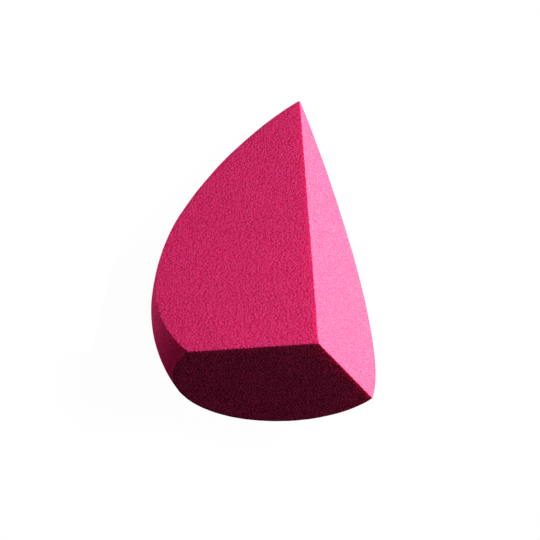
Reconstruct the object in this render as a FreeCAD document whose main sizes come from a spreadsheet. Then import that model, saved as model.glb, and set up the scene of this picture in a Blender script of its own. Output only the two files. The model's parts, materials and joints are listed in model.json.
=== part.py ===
"""Faceted make-up sponge: one piece of soft foam, lying on its rounded back with its flat faces in view.

The blank is a teardrop turned about its own axis. Two mirrored cuts meet in the ridge that runs up to the
tip, a third cut makes the base, and every cut edge is softened. Where the sponge lies, its foam gives a
little under its own weight. Lengths are in millimetres and angles in degrees.
"""
import math
import os

import FreeCAD, Part
import Sketcher

NODE = "foam_sponge"

# Driving dimensions: name, value, meaning
DIMENSIONS = (
    ("tip_height", 58.0, "base to the tip of the blank, along the axis"),
    ("belly_height", 13.3, "base to the widest place, along the axis"),
    ("belly_radius", 23.2, "radius at the widest place, and of the ball below it"),
    ("shoulder_radius", 42.0, "arc above the widest place"),
    ("shoulder_height", 16.1, "widest place to the end of that arc, where the flank goes on to the tip"),
    ("facet_turn_angle", 36.5, "angle of each front facet away from straight ahead"),
    ("ridge_drop", 1.0, "how far below the blank's tip the ridge of the front facets crosses the axis"),
    ("ridge_inset", 7.1, "how far inside the widest place that ridge ends, at the base"),
    ("base_front_angle", 6.3, "angle by which the base looks towards the front"),
    ("base_side_angle", 3.5, "angle by which the base looks towards the right"),
    ("edge_radius", 0.15, "softening of the cut edges"),
    ("lying_give", 0.16, "how far the foam gives under its own weight where it lies"),
    ("cut_overrun", 5.0, "reach of each cut past the blank"),
)

# Dimensions that follow from them: name, formula, meaning
FOLLOWING = (
    ("ridge_height", "=tip_height - ridge_drop", "height at which the ridge crosses the axis"),
    ("ridge_foot", "=belly_radius - ridge_inset", "axis to the foot of the ridge, at the base"),
    ("facet_lean_angle", "=atan(ridge_foot * cos(facet_turn_angle) / ridge_height)", "their lean back"),
)

# A sketch's numbers for its own origin and upright axis, and for the points of a line or an arc
ORIGIN, UPRIGHT = -1, -2
START, END, CENTRE = 1, 2, 3


def make_sheet(doc):
    """The sheet of dimensions, one row each: name, value with that alias, meaning."""
    sheet = doc.addObject("Spreadsheet::Sheet", "dims")
    for row, (name, value, meaning) in enumerate(DIMENSIONS + FOLLOWING, start=1):
        sheet.set(f"A{row}", name)
        sheet.set(f"B{row}", str(value))
        sheet.set(f"C{row}", meaning)
        sheet.setAlias(f"B{row}", name)
    doc.recompute()
    return sheet


def origin_plane(body, role):
    return next(item for item in body.Origin.OriginFeatures if item.Role == role)


def plane_sketch(body, name, role):
    """An empty sketch on one of the body's origin planes."""
    sketch = body.newObject("Sketcher::SketchObject", name)
    sketch.AttachmentSupport = [(origin_plane(body, role), "")]
    sketch.MapMode = "FlatFace"
    return sketch


def constrain(sketch, kind, *where):
    return sketch.addConstraint(Sketcher.Constraint(kind, *where))


def dimension(sketch, expression, kind, *where):
    """A dimension that follows an expression of the sheet's cells."""
    index = constrain(sketch, kind, *where, sketch.evalExpression(expression))
    sketch.setExpression(f"Constraints[{index}]", expression)


def arc(centre, start, end):
    """The arc about a centre, anticlockwise from one point to another."""
    first, last = (math.atan2(point.y - centre.y, point.x - centre.x) for point in (start, end))
    circle = Part.Circle(centre, FreeCAD.Vector(0, 0, 1), start.distanceToPoint(centre))
    return Part.ArcOfCircle(circle, first, last)


def blank_profile(body, sheet):
    """Half the teardrop: its axis, a ball below the widest place, a shoulder arc and a flank arc to the tip.

    It is drawn to the front, where the facets cut away the seam that turning it leaves.
    """
    sketch = plane_sketch(body, "blank_profile", "YZ_Plane")
    to_front = FreeCAD.Rotation(FreeCAD.Vector(0, 1, 0), 180)
    sketch.AttachmentOffset = FreeCAD.Placement(FreeCAD.Vector(), to_front)
    pole = FreeCAD.Vector(0, sheet.belly_height - sheet.belly_radius)
    ball_centre = FreeCAD.Vector(0, sheet.belly_height)
    belly = FreeCAD.Vector(sheet.belly_radius, sheet.belly_height)
    shoulder_centre = belly - FreeCAD.Vector(sheet.shoulder_radius, 0)
    tip = FreeCAD.Vector(0, sheet.tip_height)

    # The flank leaves the shoulder along its tangent, so its centre is on the shoulder's last radius
    turn = math.asin(sheet.shoulder_height / sheet.shoulder_radius)
    outward = FreeCAD.Vector(math.cos(turn), math.sin(turn))
    joint = shoulder_centre + outward * sheet.shoulder_radius
    chord = tip - joint
    flank_centre = joint + outward * (chord.dot(chord) / (2 * chord.dot(outward)))

    axis = sketch.addGeometry(Part.LineSegment(pole, tip))
    ball = sketch.addGeometry(arc(ball_centre, pole, belly))
    shoulder = sketch.addGeometry(arc(shoulder_centre, belly, joint))
    flank = sketch.addGeometry(arc(flank_centre, joint, tip))

    constrain(sketch, "PointOnObject", axis, START, UPRIGHT)
    constrain(sketch, "PointOnObject", axis, END, UPRIGHT)
    constrain(sketch, "PointOnObject", ball, CENTRE, UPRIGHT)
    constrain(sketch, "Coincident", axis, START, ball, START)
    constrain(sketch, "Horizontal", ball, CENTRE, ball, END)
    constrain(sketch, "Tangent", ball, END, shoulder, START)
    constrain(sketch, "Tangent", shoulder, END, flank, START)
    constrain(sketch, "Coincident", flank, END, axis, END)
    dimension(sketch, "dims.belly_radius", "Radius", ball)
    dimension(sketch, "dims.shoulder_radius", "Radius", shoulder)
    dimension(sketch, "dims.belly_height", "DistanceY", ORIGIN, START, ball, CENTRE)
    dimension(sketch, "dims.shoulder_height", "DistanceY", ball, CENTRE, shoulder, END)
    dimension(sketch, "dims.tip_height", "DistanceY", ORIGIN, START, axis, END)
    return sketch


def facet_outline(body):
    """A rectangle in the left front facet's plane, wider and longer than the blank."""
    sketch = plane_sketch(body, "facet_outline", "XZ_Plane")
    sketch.setExpression("AttachmentOffset.Base.y", "dims.ridge_height")
    sketch.setExpression("AttachmentOffset.Rotation.Pitch", "-dims.facet_turn_angle")
    sketch.setExpression("AttachmentOffset.Rotation.Roll", "-dims.facet_lean_angle")
    corners = [FreeCAD.Vector(x, y) for x, y in ((-1, -1), (1, -1), (1, 1), (-1, 1))]
    sides = zip(corners, corners[1:] + corners[:1])
    bottom, right, top, left = [sketch.addGeometry(Part.LineSegment(*side)) for side in sides]
    for line, following in ((bottom, right), (right, top), (top, left), (left, bottom)):
        constrain(sketch, "Coincident", line, END, following, START)
    constrain(sketch, "Horizontal", top)
    constrain(sketch, "Vertical", left)
    constrain(sketch, "Vertical", right)
    constrain(sketch, "Symmetric", bottom, START, bottom, END, UPRIGHT)
    width = "2 * (dims.belly_radius + dims.cut_overrun)"
    dimension(sketch, width, "DistanceX", bottom, START, bottom, END)
    dimension(sketch, "dims.ridge_drop + dims.cut_overrun", "DistanceY", ORIGIN, START, top, START)
    below = "dims.ridge_height + dims.belly_radius + dims.cut_overrun"
    dimension(sketch, below, "DistanceY", bottom, START, ORIGIN, START)
    return sketch


def round_outline(sketch):
    """A circle about the sketch's origin, wider than the blank."""
    circle = sketch.addGeometry(Part.Circle())
    constrain(sketch, "Coincident", circle, CENTRE, ORIGIN, START)
    dimension(sketch, "dims.belly_radius + dims.cut_overrun", "Radius", circle)
    return sketch


def base_outline(body):
    """A circle in the base's plane, which leans towards the front and the right."""
    sketch = plane_sketch(body, "base_outline", "XY_Plane")
    sketch.setExpression("AttachmentOffset.Rotation.Pitch", "-dims.base_side_angle")
    sketch.setExpression("AttachmentOffset.Rotation.Roll", "-dims.base_front_angle")
    return round_outline(sketch)


def pocket(body, name, outline, depth, outward):
    """A cut of the given depth, in front of the outline's plane if outward and otherwise behind it."""
    cut = body.newObject("PartDesign::Pocket", name)
    cut.Profile = outline
    cut.setExpression("Length", depth)
    cut.Reversed = outward
    return cut


def lying_turn(shape, profile):
    """The turn that lays the sponge on its back, with the tip towards +Y.

    At rest the centre of mass is straight above the point of contact. The blank's normals all cross its
    axis, so in the half plane of that centre the contact is on the arc that the normal through it meets.
    """
    centre = shape.Solids[0].CenterOfMass
    reach = math.hypot(centre.x, centre.y)
    arcs = [curve for curve in profile.Geometry if isinstance(curve, Part.ArcOfCircle)]
    for curve in arcs:
        lean = math.atan2(centre.z - curve.Center.y, reach - curve.Center.x)
        if (lean - curve.FirstParameter) % math.tau <= curve.LastParameter - curve.FirstParameter:
            break
    else:
        raise RuntimeError(f"{NODE} doesn't lie on its rounded back")
    roll = FreeCAD.Rotation(FreeCAD.Vector(0, 0, 1), math.degrees(math.atan2(centre.x, centre.y)))
    lay_back = FreeCAD.Rotation(FreeCAD.Vector(1, 0, 0), -90 - math.degrees(lean))
    return lay_back * roll


def lay_down(shape, turn):
    """The placement with that turn that centres the box over the origin, with its lowest point at zero."""
    place = FreeCAD.Placement(FreeCAD.Vector(), turn)
    box = shape.transformed(place.toMatrix(), copy=True).optimalBoundingBox(False, False)
    place.Base = FreeCAD.Vector(-box.Center.x, -box.Center.y, -box.ZMin)
    return place


def check(doc, body):
    for item in doc.Objects:
        if "Invalid" in item.State or "Error" in item.State:
            raise RuntimeError(f"{item.Name} failed: {item.State}")
    if body.Shape.isNull() or not body.Shape.isValid() or len(body.Shape.Solids) != 1:
        raise RuntimeError(f"{body.Label} isn't one valid solid")


def make_sponge(doc, sheet):
    """The foam body, standing on its base with the ridge to the front, and the turn that lays it down."""
    body = doc.addObject("PartDesign::Body", NODE)
    body.Label = NODE

    profile = blank_profile(body, sheet)
    blank = body.newObject("PartDesign::Revolution", "blank")
    blank.Profile = profile
    blank.ReferenceAxis = (profile, ["V_Axis"])
    blank.Angle = 360

    through = "2 * dims.belly_radius + dims.cut_overrun"
    left_facet = pocket(body, "left_facet", facet_outline(body), through, outward=True)
    right_facet = body.newObject("PartDesign::Mirrored", "right_facet")
    right_facet.Originals = [left_facet]
    right_facet.MirrorPlane = (origin_plane(body, "YZ_Plane"), [""])
    body.Tip = right_facet
    base = pocket(body, "base", base_outline(body), through, outward=False)

    soft_edges = body.newObject("PartDesign::Fillet", "soft_edges")
    soft_edges.Base = (base, [])
    soft_edges.UseAllEdges = True
    soft_edges.setExpression("Radius", "dims.edge_radius")
    doc.recompute()
    check(doc, body)

    # The floor's plane, as the sponge would touch it if it were hard, is the lower side of the cut
    turn = lying_turn(soft_edges.Shape, profile)
    lying_outline = body.newObject("Sketcher::SketchObject", "lying_outline")
    lying_outline.Placement = lay_down(soft_edges.Shape, turn).inverse()
    lying_flat = pocket(body, "lying_flat", round_outline(lying_outline), "dims.lying_give", outward=True)
    doc.recompute()
    cuts = ((blank, left_facet), (left_facet, right_facet), (right_facet, base), (soft_edges, lying_flat))
    for before, after in cuts:
        if after.Shape.Volume >= before.Shape.Volume:
            raise RuntimeError(f"{after.Name} cuts nothing")
    return body, turn


def main():
    doc = FreeCAD.newDocument("makeup_sponge")
    sheet = make_sheet(doc)
    body, turn = make_sponge(doc, sheet)
    check(doc, body)
    body.Placement = lay_down(body.Shape, turn)
    doc.recompute()
    check(doc, body)
    os.makedirs("parts", exist_ok=True)
    body.Shape.exportStep(f"parts/{body.Label}.step")
    box = body.Shape.optimalBoundingBox(False, False)
    print(f"{body.Label}: {body.Shape.Volume:.1f} mm3 in a box of", end=" ")
    print(f"{box.XLength:.2f} x {box.YLength:.2f} x {box.ZLength:.2f} mm")


main()
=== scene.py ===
"""Looks of the make-up sponge: one piece of pink foam on a white floor, in studio light from the right."""

import json
import math

import bmesh
import bpy
import numpy as np
from mathutils import Matrix, Vector, noise
from mathutils.geometry import delaunay_2d_cdt
from mathutils.kdtree import KDTree


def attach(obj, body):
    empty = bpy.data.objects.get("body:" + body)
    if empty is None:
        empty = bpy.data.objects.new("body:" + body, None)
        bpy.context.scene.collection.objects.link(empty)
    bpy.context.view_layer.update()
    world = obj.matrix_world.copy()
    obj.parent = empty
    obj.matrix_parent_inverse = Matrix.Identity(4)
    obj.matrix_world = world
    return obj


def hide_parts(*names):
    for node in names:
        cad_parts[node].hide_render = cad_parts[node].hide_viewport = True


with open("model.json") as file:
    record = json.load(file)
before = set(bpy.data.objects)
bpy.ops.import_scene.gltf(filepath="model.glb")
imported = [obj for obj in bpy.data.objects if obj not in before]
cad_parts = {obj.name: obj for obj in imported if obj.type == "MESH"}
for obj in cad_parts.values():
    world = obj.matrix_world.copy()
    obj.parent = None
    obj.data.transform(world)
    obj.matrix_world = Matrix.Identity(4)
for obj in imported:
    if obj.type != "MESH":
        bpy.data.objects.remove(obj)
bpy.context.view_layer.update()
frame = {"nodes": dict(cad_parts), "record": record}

MM = 0.001
NODE = "foam_sponge"

# Foam mesh
LONGEST_EDGE = 0.8 * MM
SHORTEST_EDGE = 0.015 * MM
ROW_RISE = LONGEST_EDGE * math.sqrt(0.75)
WELD = 0.001 * MM
FILL_TOLERANCE = WELD / 100
RELAX_STEPS = 6
RELAX_SHARE = 0.5
SHARP_ANGLE = math.radians(12)

# Unevenness of the foam: the size and height of its swells and lumps
SWELL_SIZE = 7.0 * MM
SWELL_HEIGHT = 0.05 * MM
LUMP_SIZE = 1.9 * MM
LUMP_HEIGHT = 0.02 * MM

# Foam cells, which lie open on the flat cuts and are closed by a skin on the rounded back
FACE_REACH = 0.35 * MM
CELL_SIZE = 0.36 * MM
CELL_SMOOTHNESS = 0.35
GRAIN_SIZE = 0.34 * MM
GRAIN_SHARE = 0.9
NOISE_DETAIL = 2.0
RELIEF_DEPTH = 0.19 * MM
BACK_RELIEF_SHARE = 0.35
PORE_HEIGHT = 0.75
CROWN_HEIGHT = 1.25

# Base face: painted shade that darkens its pores and painted highlight that lightens its crowns, as shares of
# the foam's colour
BASE_FACE = "base_face"
BASE_REACH = 0.02 * MM
BASE_PORE_PAINTED_SHADE = 0.36
BASE_CROWN_PAINTED_HIGHLIGHT = 1.2

# Foam colour and gloss
# The pores are painted darker as painted shade, and the crowns paler as painted highlight
PORE_PAINTED_SHADE_COLOUR = (0.655, 0.008, 0.109, 1)
CROWN_PAINTED_HIGHLIGHT_COLOUR = (0.785, 0.035, 0.181, 1)
DRIFT_SIZE = 9.0 * MM
DRIFT_SHARE = 0.06
ROUGHNESS = 0.55
GLOSS = 0.55
GLOSS_TINT = (1.0, 0.26, 0.38, 1)
GLOW_SHARE = 0.32
GLOW_DEPTH = 2.8 * MM
GLOW_DEPTH_SHARES = (1.0, 0.2, 0.35)

# White floor and world: the white that is seen and the little light that they give
WHITE = (1, 1, 1, 1)
FLOOR_REACH = 6.0
FLOOR_WHITE = 0.98
FLOOR_SHADE = (0.025, 0.025, 0.025, 1)
FLOOR_BOUNCE = (0.02, 0.02, 0.02, 1)
WORLD_LIGHT = 0.006

# Cards on the floor
CARD_LIFT = 0.1 * MM
DARK_REACH = 400 * MM
DARK_RIGHT = 4 * MM
DARK_BACK = -22 * MM
PINK_LEFT = -80 * MM
PINK_RIGHT = -25 * MM
PINK_FRONT = -25 * MM
PINK_BACK = 6 * MM
PINK_BOUNCE = (1.0, 0.6, 0.8, 1)
PINK_LEVEL = 1.9

# Lamps: the direction, the distance and size in metres, and the level of light
LAMP_AIM = Vector((0, 0, 20 * MM))
LAMPS = {
    "key": ((0.220, 0.254, 0.942), 0.28, 0.09, 1.20),
    "side": ((0.835, 0.543, 0.087), 0.60, 0.09, 1.76),
    "left": ((-0.800, 0.580, 0.150), 0.80, 0.20, 0.14),
}

# Camera
VIEW_AIM = Vector((-0.531, -3.830, 16.904)) * MM
VIEW_AZIMUTH = math.radians(-58.061)
VIEW_ELEVATION = math.radians(60.802)
VIEW_ROLL = math.radians(72.691)
VIEW_DISTANCE = 303.984 * MM
LENS = 109.709
SENSOR_WIDTH = 36.0
NEAREST = 10 * MM
FARTHEST = 50.0


def coordinates(mesh, kind):
    values = np.empty(len(mesh.vertices) * 3)
    mesh.vertices.foreach_get(kind, values)
    return values.reshape(-1, 3)


class FlatFace:
    """The plane of one of the sponge's flat faces, with axes of its own."""

    def __init__(self, mount):
        self.centre = Vector(mount["pos_m"])
        self.normal = Vector(mount["axis"]).normalized()
        self.across = self.normal.orthogonal().normalized()
        self.along = self.normal.cross(self.across)

    def holds(self, item):
        return all(abs((vert.co - self.centre).dot(self.normal)) < WELD for vert in item.verts)

    def drawn(self, vert):
        offset = vert.co - self.centre
        return Vector((offset.dot(self.across), offset.dot(self.along)))

    def placed(self, spot):
        return self.centre + self.across * spot.x + self.along * spot.y


def split_long_edges(work):
    """Halves each long edge, longest first, and joins the new corner to the corners across from it."""
    long_edges = list(work.edges)
    while long_edges:
        long_edges = [edge for edge in work.edges if edge.calc_length() > LONGEST_EDGE]
        long_edges.sort(key=bmesh.types.BMEdge.calc_length, reverse=True)
        for edge in long_edges:
            middle = bmesh.utils.edge_split(edge, edge.verts[0], 0.5)[1]
            for corner in list(middle.link_loops):
                across = corner.link_loop_next.link_loop_next.vert
                bmesh.utils.face_split(corner.face, middle, across)


def close_short_edges(work):
    """Joins corners that lie very close together, and leaves the rims of the flat faces where they are."""
    rims = [vert for vert in work.verts if vert.is_boundary]
    close = bmesh.ops.find_doubles(work, verts=work.verts, keep_verts=rims, dist=SHORTEST_EDGE)
    bmesh.ops.weld_verts(work, targetmap=close["targetmap"])


def even_spots(outline):
    """Spots in even rows, one longest edge apart, over the box of an outline."""
    low = [min(spot[axis] for spot in outline) for axis in (0, 1)]
    high = [max(spot[axis] for spot in outline) for axis in (0, 1)]
    for row in range(int((high[1] - low[1]) / ROW_RISE) + 1):
        shift = 0.5 * (row % 2)
        for column in range(int((high[0] - low[0]) / LONGEST_EDGE) + 1):
            yield Vector((low[0] + (column + shift) * LONGEST_EDGE, low[1] + row * ROW_RISE))


def fill_flat_face(work, face):
    """Fills the hole that a flat face left with an even mesh, up to the edges round it."""
    rim = [edge for edge in work.edges if edge.is_boundary and face.holds(edge)]
    verts = list({vert: None for edge in rim for vert in edge.verts})
    number = {vert: index for index, vert in enumerate(verts)}
    outline = [face.drawn(vert) for vert in verts]
    near = KDTree(len(outline))
    for index, spot in enumerate(outline):
        near.insert(spot.to_3d(), index)
    near.balance()
    inner = [spot for spot in even_spots(outline) if near.find(spot.to_3d())[2] > LONGEST_EDGE / 2]
    sides = [tuple(number[vert] for vert in edge.verts) for edge in rim]
    spots, _, triangles, sources, _, _ = delaunay_2d_cdt(outline + inner, sides, [], 1, FILL_TOLERANCE)
    corners = {}
    for triangle in triangles:
        for index in triangle:
            if index in corners:
                continue
            first = sources[index][0]
            on_rim = first < len(verts)
            corners[index] = verts[first] if on_rim else work.verts.new(face.placed(spots[index]))
        work.faces.new([corners[index] for index in triangle])


def fine_mesh(solid, mounts):
    """The solid's mesh with its long edges split and its flat faces filled evenly, so the cuts stay crisp."""
    work = bmesh.new()
    work.from_mesh(solid)
    bmesh.ops.remove_doubles(work, verts=work.verts, dist=WELD)
    faces = [FlatFace(mount) for mount in mounts]
    for face in faces:
        bmesh.ops.delete(work, geom=[item for item in work.faces if face.holds(item)], context="FACES")
    split_long_edges(work)
    close_short_edges(work)
    for face in faces:
        fill_flat_face(work, face)
    bmesh.ops.recalc_face_normals(work, faces=work.faces)
    mesh = bpy.data.meshes.new("foam")
    work.to_mesh(mesh)
    work.free()
    return mesh


def flatness(points, mounts, reach):
    """One on the flat faces of the mounts, falling to zero within the reach."""
    flat = np.zeros(len(points))
    for mount in mounts:
        gap = np.abs((points - np.array(mount["pos_m"])) @ np.array(mount["axis"]))
        flat = np.maximum(flat, np.clip(1 - gap / reach, 0, 1))
    return flat


def relaxed(mesh, points, flat):
    """The points with the rounded back's small facets smoothed out and the flat faces left alone."""
    edges = np.empty(len(mesh.edges) * 2, int)
    mesh.edges.foreach_get("vertices", edges)
    first, second = edges.reshape(-1, 2).T
    count = np.bincount(edges, minlength=len(points))[:, None]
    share = np.where(flat > 0, 0, RELAX_SHARE)[:, None]
    for _ in range(RELAX_STEPS):
        total = np.zeros_like(points)
        np.add.at(total, first, points[second])
        np.add.at(total, second, points[first])
        points = points + share * (total / count - points)
    return points


def unevenness(point):
    """How far the foam's surface stands off the solid at a point."""
    place = Vector(point)
    return noise.noise(place / SWELL_SIZE) * SWELL_HEIGHT + noise.noise(place / LUMP_SIZE) * LUMP_HEIGHT


def foam_piece():
    """The foam's own mesh: the solid's form with a slightly uneven surface, level where it lies."""
    mounts = frame["record"]["mounts"]
    mesh = fine_mesh(frame["nodes"][NODE].data, mounts)
    points = coordinates(mesh, "co")
    flat = flatness(points, mounts, FACE_REACH)
    # Mask of the base face, where the pores get deeper painted shade and the crowns painted highlight
    base = flatness(points, [mount for mount in mounts if mount["name"] == BASE_FACE], BASE_REACH)
    points = relaxed(mesh, points, flat)
    mesh.vertices.foreach_set("co", points.ravel())
    mesh.polygons.foreach_set("use_smooth", np.ones(len(mesh.polygons), bool))
    mesh.update()
    heights = np.array([unevenness(point) for point in points])
    points += coordinates(mesh, "normal") * heights[:, None]
    points[:, 2] = np.maximum(points[:, 2], 0)
    mesh.vertices.foreach_set("co", points.ravel())
    for name, values in {"flat": flat, "base": base}.items():
        mesh.attributes.new(name, "FLOAT", "POINT").data.foreach_set("value", values)
    mesh.set_sharp_from_angle(angle=SHARP_ANGLE)
    mesh.update()
    mesh.materials.clear()
    piece = bpy.data.objects.new("foam_body", mesh)
    bpy.context.scene.collection.objects.link(piece)
    return piece


class Nodes:
    """A short way to add and link the nodes of one material or world."""

    def __init__(self, owner):
        owner.use_nodes = True
        self.tree = owner.node_tree
        self.tree.nodes.clear()

    def add(self, kind, values=(), **settings):
        node = self.tree.nodes.new(kind)
        for name, value in settings.items():
            setattr(node, name, value)
        for name, value in dict(values).items():
            if isinstance(value, bpy.types.NodeSocket):
                self.tree.links.new(value, node.inputs[name])
            else:
                node.inputs[name].default_value = value
        return node

    def math(self, operation, first, second):
        return self.add("ShaderNodeMath", {0: first, 1: second}, operation=operation).outputs[0]

    def ramp(self, value, **limits):
        ends = {name.replace("_", " ").title(): limit for name, limit in limits.items()}
        return self.add("ShaderNodeMapRange", {"Value": value, **ends}).outputs["Result"]

    def noise(self, place, size):
        texture = self.add("ShaderNodeTexNoise", {"Vector": place, "Scale": 1 / size, "Detail": NOISE_DETAIL})
        return texture.outputs["Fac"]


def foam_relief(n, place):
    """Height of the foam's cells: rounded crowns with a finer grain over them."""
    cells = n.add("ShaderNodeTexVoronoi", {"Vector": place, "Scale": 1 / CELL_SIZE}, feature="SMOOTH_F1")
    cells.inputs["Smoothness"].default_value = CELL_SMOOTHNESS
    crowns = n.math("SUBTRACT", 1.0, cells.outputs["Distance"])
    grain = n.math("MULTIPLY", n.noise(place, GRAIN_SIZE), GRAIN_SHARE)
    return n.math("ADD", crowns, grain)


def foam_colour(n, place, relief, base):
    """Painted shade in the pores and painted highlight on the crowns, a slow drift over all, and deeper
    painted shade in the pores and painted highlight on the crowns of the base face.
    """
    # Painted shade in the pores and painted highlight on the crowns, by the height of the relief
    crown = n.ramp(relief, from_min=PORE_HEIGHT, from_max=CROWN_HEIGHT)
    tone = n.add("ShaderNodeValToRGB", {"Fac": crown})
    tone.color_ramp.elements[0].color = PORE_PAINTED_SHADE_COLOUR
    tone.color_ramp.elements[1].color = CROWN_PAINTED_HIGHLIGHT_COLOUR
    drift = n.ramp(n.noise(place, DRIFT_SIZE), to_min=1 - DRIFT_SHARE, to_max=1 + DRIFT_SHARE)
    # On the base face the pores get deeper painted shade and the crowns painted highlight
    base_painted_shade_and_highlight = n.ramp(crown, to_min=BASE_PORE_PAINTED_SHADE, to_max=BASE_CROWN_PAINTED_HIGHLIGHT)
    change = n.math("MULTIPLY", base, n.math("SUBTRACT", base_painted_shade_and_highlight, 1.0))
    share = n.math("MULTIPLY", drift, n.math("ADD", change, 1.0))
    colour = n.add("ShaderNodeVectorMath", {0: tone.outputs["Color"], "Scale": share}, operation="SCALE")
    return colour.outputs["Vector"]


def foam_material():
    material = bpy.data.materials.new("pink_foam")
    n = Nodes(material)
    place = n.add("ShaderNodeTexCoord").outputs["Object"]
    flat = n.add("ShaderNodeAttribute", attribute_name="flat").outputs["Fac"]
    base = n.add("ShaderNodeAttribute", attribute_name="base").outputs["Fac"]
    relief = foam_relief(n, place)
    height = n.math("MULTIPLY", relief, n.ramp(flat, to_min=BACK_RELIEF_SHARE, to_max=1.0))
    bump = n.add("ShaderNodeBump", {"Height": height, "Strength": 1.0, "Distance": RELIEF_DEPTH})
    shader = n.add("ShaderNodeBsdfPrincipled", {
        "Base Color": foam_colour(n, place, relief, base),
        "Roughness": ROUGHNESS,
        "Specular IOR Level": GLOSS,
        "Specular Tint": GLOSS_TINT,
        "Subsurface Weight": GLOW_SHARE,
        "Subsurface Radius": GLOW_DEPTH_SHARES,
        "Subsurface Scale": GLOW_DEPTH,
        "Normal": bump.outputs["Normal"],
    })
    n.add("ShaderNodeOutputMaterial", {"Surface": shader.outputs["BSDF"]})
    return material


def seen(n):
    """One for the rays that should see the white surroundings: camera, glossy and transmission."""
    path = n.add("ShaderNodeLightPath").outputs
    both = n.math("MAXIMUM", path["Is Camera Ray"], path["Is Glossy Ray"])
    return n.math("MAXIMUM", both, path["Is Transmission Ray"])


def flat_stage(name, outline, height):
    """A level sheet of the stage, with an empty material for it and that material's nodes."""
    mesh = bpy.data.meshes.new(name)
    mesh.from_pydata([(x, y, height) for x, y in outline], [], [tuple(range(len(outline)))])
    sheet = bpy.data.objects.new(name, mesh)
    bpy.context.scene.collection.objects.link(sheet)
    material = bpy.data.materials.new(name)
    mesh.materials.append(material)
    return sheet, Nodes(material)


def rectangle(left, right, front, back):
    return [(left, front), (right, front), (right, back), (left, back)]


def make_floor():
    """A floor that is seen white, with the sponge's faint shadow on it, and that gives back little light."""
    outline = rectangle(-FLOOR_REACH, FLOOR_REACH, -FLOOR_REACH, FLOOR_REACH)
    n = flat_stage("floor", outline, 0)[1]
    bounce = n.add("ShaderNodeBsdfDiffuse", {"Color": FLOOR_BOUNCE})
    glow = n.add("ShaderNodeEmission", {"Color": WHITE, "Strength": FLOOR_WHITE})
    shade = n.add("ShaderNodeBsdfDiffuse", {"Color": FLOOR_SHADE})
    white = n.add("ShaderNodeAddShader", {0: glow.outputs[0], 1: shade.outputs[0]})
    both = n.add("ShaderNodeMixShader", {"Fac": seen(n), 1: bounce.outputs[0], 2: white.outputs[0]})
    n.add("ShaderNodeOutputMaterial", {"Surface": both.outputs[0]})


def lay_card(name, outline, colour, level, kind):
    """A card on the floor that only rays of one kind meet: it casts no shadow and no view shows it."""
    card, n = flat_stage(name, outline, CARD_LIFT)
    light = n.add("ShaderNodeEmission", {"Color": colour, "Strength": level})
    n.add("ShaderNodeOutputMaterial", {"Surface": light.outputs[0]})
    for ray in ("camera", "diffuse", "glossy", "transmission", "volume_scatter", "shadow"):
        setattr(card, f"visible_{ray}", ray == kind)


def lay_cards():
    """A dark card keeps the white out of the gloss in front; a pink one stands for the foam's own bounce."""
    dark = [
        (-DARK_REACH, -DARK_REACH), (DARK_REACH, -DARK_REACH), (DARK_REACH, DARK_BACK),
        (DARK_RIGHT, DARK_BACK), (DARK_RIGHT, DARK_REACH), (-DARK_REACH, DARK_REACH),
    ]
    lay_card("dark_card", dark, WHITE, 0, "glossy")
    pink = rectangle(PINK_LEFT, PINK_RIGHT, PINK_FRONT, PINK_BACK)
    lay_card("pink_card", pink, PINK_BOUNCE, PINK_LEVEL, "diffuse")


def make_world():
    world = bpy.data.worlds.new("studio")
    n = Nodes(world)
    white = n.add("ShaderNodeBackground", {"Color": WHITE, "Strength": 1.0})
    dim = n.add("ShaderNodeBackground", {"Color": WHITE, "Strength": WORLD_LIGHT})
    both = n.add("ShaderNodeMixShader", {"Fac": seen(n), 1: dim.outputs[0], 2: white.outputs[0]})
    n.add("ShaderNodeOutputWorld", {"Surface": both.outputs[0]})
    bpy.context.scene.world = world


def area_lamp(name, direction, distance, size, level):
    """A square lamp that faces the sponge and lights a surface square to it to the given level."""
    light = bpy.data.lights.new(name, "AREA")
    light.size = size
    light.energy = level * math.pi**2 * distance**2
    lamp = bpy.data.objects.new(name, light)
    toward = Vector(direction).normalized()
    lamp.location = LAMP_AIM + toward * distance
    lamp.rotation_euler = toward.to_track_quat("Z", "Y").to_euler()
    bpy.context.scene.collection.objects.link(lamp)


def make_camera():
    """The photograph's view: from above on the left, turned so that the tip points up."""
    level = math.cos(VIEW_ELEVATION)
    toward = Vector((
        math.sin(VIEW_AZIMUTH) * level,
        -math.cos(VIEW_AZIMUTH) * level,
        math.sin(VIEW_ELEVATION),
    ))
    camera = bpy.data.cameras.new("camera")
    camera.lens = LENS
    camera.sensor_width = SENSOR_WIDTH
    camera.clip_start = NEAREST
    camera.clip_end = FARTHEST
    view = bpy.data.objects.new("camera", camera)
    turn = toward.to_track_quat("Z", "Y").to_matrix() @ Matrix.Rotation(VIEW_ROLL, 3, "Z")
    view.matrix_world = Matrix.Translation(VIEW_AIM + toward * VIEW_DISTANCE) @ turn.to_4x4()
    bpy.context.scene.collection.objects.link(view)
    bpy.context.scene.camera = view


foam = foam_piece()
foam.data.materials.append(foam_material())
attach(foam, "root")
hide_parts(NODE)

make_floor()
lay_cards()
make_world()
for lamp_name, settings in LAMPS.items():
    area_lamp(lamp_name, *settings)
make_camera()
bpy.context.scene.view_settings.view_transform = "Standard"
